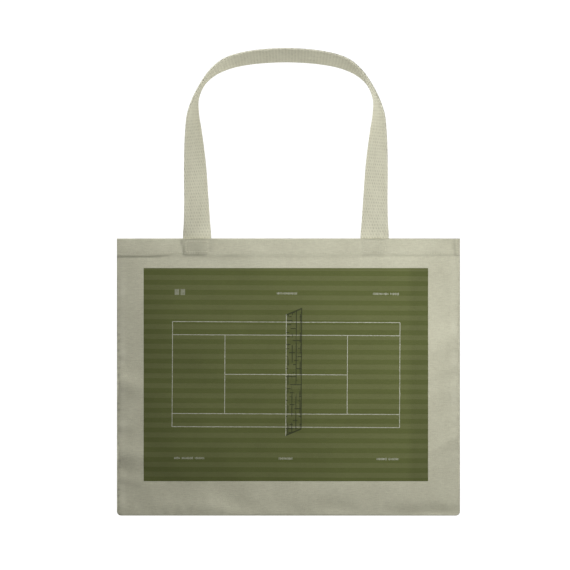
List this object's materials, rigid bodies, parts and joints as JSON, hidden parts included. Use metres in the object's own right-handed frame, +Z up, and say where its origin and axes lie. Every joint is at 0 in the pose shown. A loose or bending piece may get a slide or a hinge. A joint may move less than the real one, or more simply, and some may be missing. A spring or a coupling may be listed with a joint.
{
  "type": "tote bag",
  "caption": "Flat open-topped canvas tote bag with two long webbing shoulder handles and a printed court on its front, hanging by the handles.",
  "frame": {"origin": "the point on the mid-plane where a hook carries the inner edges of both handle loops, at the top of the loops", "axes": "+Z up, +X to the right as the printed front is looked at, -Y out of the printed front"},
  "size_m": [0.4, 0.0702, 0.5439],
  "materials": {
    "canvas": "undyed plain-weave cotton canvas, matt",
    "webbing": "undyed twill cotton webbing, matt",
    "thread": "undyed spun sewing thread",
    "print_ink": "olive green ink printed into the canvas, matt"
  },
  "bodies": {
    "seams": {"left_side_seam": "canvas", "right_side_seam": "canvas", "bottom_seam": "canvas", "left_overlock_thread": "thread", "right_overlock_thread": "thread", "bottom_overlock_thread": "thread"},
    "front": {"front_panel": "canvas", "front_hem": "canvas", "front_hem_thread": "thread", "front_handle_end_left": "webbing", "front_handle_end_right": "webbing", "front_handle_thread_left": "thread", "front_handle_thread_right": "thread", "court_print": "print_ink"},
    "front_handle": {"front_handle_loop": "webbing"},
    "back": {"back_panel": "canvas", "back_hem": "canvas", "back_hem_thread": "thread", "back_handle_end_left": "webbing", "back_handle_end_right": "webbing", "back_handle_thread_left": "thread", "back_handle_thread_right": "thread"},
    "back_handle": {"back_handle_loop": "webbing"}
  },
  "joints": [
    {"name": "front_panel_swing", "type": "hinge", "parent": "seams", "child": "front", "pos_m": [0.003, -0.0015, -0.527], "axis": [1, 0, 0], "range_deg": [0, 8]},
    {"name": "back_panel_swing", "type": "hinge", "parent": "seams", "child": "back", "pos_m": [0.003, 0.0015, -0.527], "axis": [-1, 0, 0], "range_deg": [0, 8]},
    {"name": "front_handle_fold", "type": "hinge", "parent": "front", "child": "front_handle", "pos_m": [0, -0.013, -0.2035], "axis": [1, 0, 0], "range_deg": [0, 165]},
    {"name": "back_handle_fold", "type": "hinge", "parent": "back", "child": "back_handle", "pos_m": [0, 0.013, -0.2035], "axis": [-1, 0, 0], "range_deg": [0, 165]}
  ]
}
